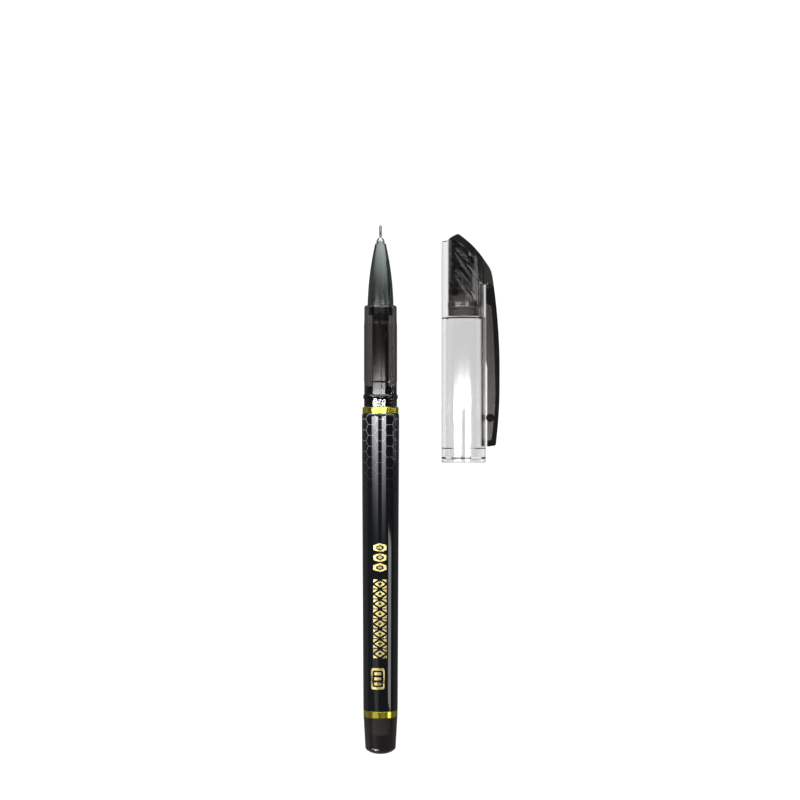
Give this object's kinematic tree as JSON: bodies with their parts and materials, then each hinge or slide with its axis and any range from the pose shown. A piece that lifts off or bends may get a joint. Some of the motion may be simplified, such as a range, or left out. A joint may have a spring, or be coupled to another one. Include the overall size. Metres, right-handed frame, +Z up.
{
  "type": "fabric marking pen",
  "caption": "Needle-point fabric marking pen with a dark tapered barrel, gold rings and a smoke-grey section, lying beside its clear slant-topped clip cap",
  "frame": {"origin": "on the table under the middle of the whole object's box, pen and cap together", "axes": "+Y from the pen's tail to its point, +X from the pen to the cap, +Z up from the table"},
  "size_m": [0.0364, 0.14, 0.0117],
  "materials": {
    "steel": "drawn and polished stainless steel",
    "holder_plastic": "moulded dark grey plastic",
    "tube_plastic": "milky extruded polypropylene",
    "ink": "black gel, wet",
    "follower_grease": "clear amber grease",
    "dark_chrome": "dark chrome plating on moulded plastic",
    "smoke_plastic": "translucent smoke-grey, polished",
    "gold": "vacuum-metallised gold",
    "black_gloss": "gloss lacquer over a fine printed honeycomb and gold print",
    "clear_plastic": "clear, polished",
    "seal_rubber": "soft, matt"
  },
  "bodies": {
    "barrel": {"barrel": "black_gloss", "rear_ring": "gold", "end_plug": "smoke_plastic"},
    "front_ring": {"front_ring": "gold"},
    "section": {"grip_section": "smoke_plastic", "nose_cone": "dark_chrome", "needle_collar": "steel", "needle_pipe": "steel", "writing_ball": "steel", "ball_spring": "steel", "tip_holder": "holder_plastic", "ink_tube": "tube_plastic", "ink_column": "ink", "ink_follower": "follower_grease", "refill_tail_plug": "tube_plastic"},
    "cap": {"cap_tube": "clear_plastic", "crown": "smoke_plastic", "tip_seal": "seal_rubber"},
    "clip": {"clip_arm": "smoke_plastic"}
  },
  "joints": [
    {"name": "front_ring_slide", "type": "slide", "parent": "barrel", "child": "front_ring", "axis": [0, 1, 0], "range_m": [0, 0.006]},
    {"name": "section_turn", "type": "hinge", "parent": "front_ring", "child": "section", "pos_m": [-0.01324, 0, 0.00496], "axis": [0, 1, 0], "range_deg": [0, 1440]},
    {"name": "cap_slide", "type": "slide", "parent": "barrel", "child": "cap", "axis": [0, 1, 0], "range_m": [0, 0.05]},
    {"name": "clip_flex", "type": "hinge", "parent": "cap", "child": "clip", "pos_m": [0.01563, 0.054, 0.00583], "axis": [0, 0, 1], "range_deg": [0, 4], "stiffness_Nm_per_rad": 1.5}
  ],
  "couplings": [
    {"joint": "section_turn", "follows": "front_ring_slide", "rad_per_m": 4188.8}
  ]
}
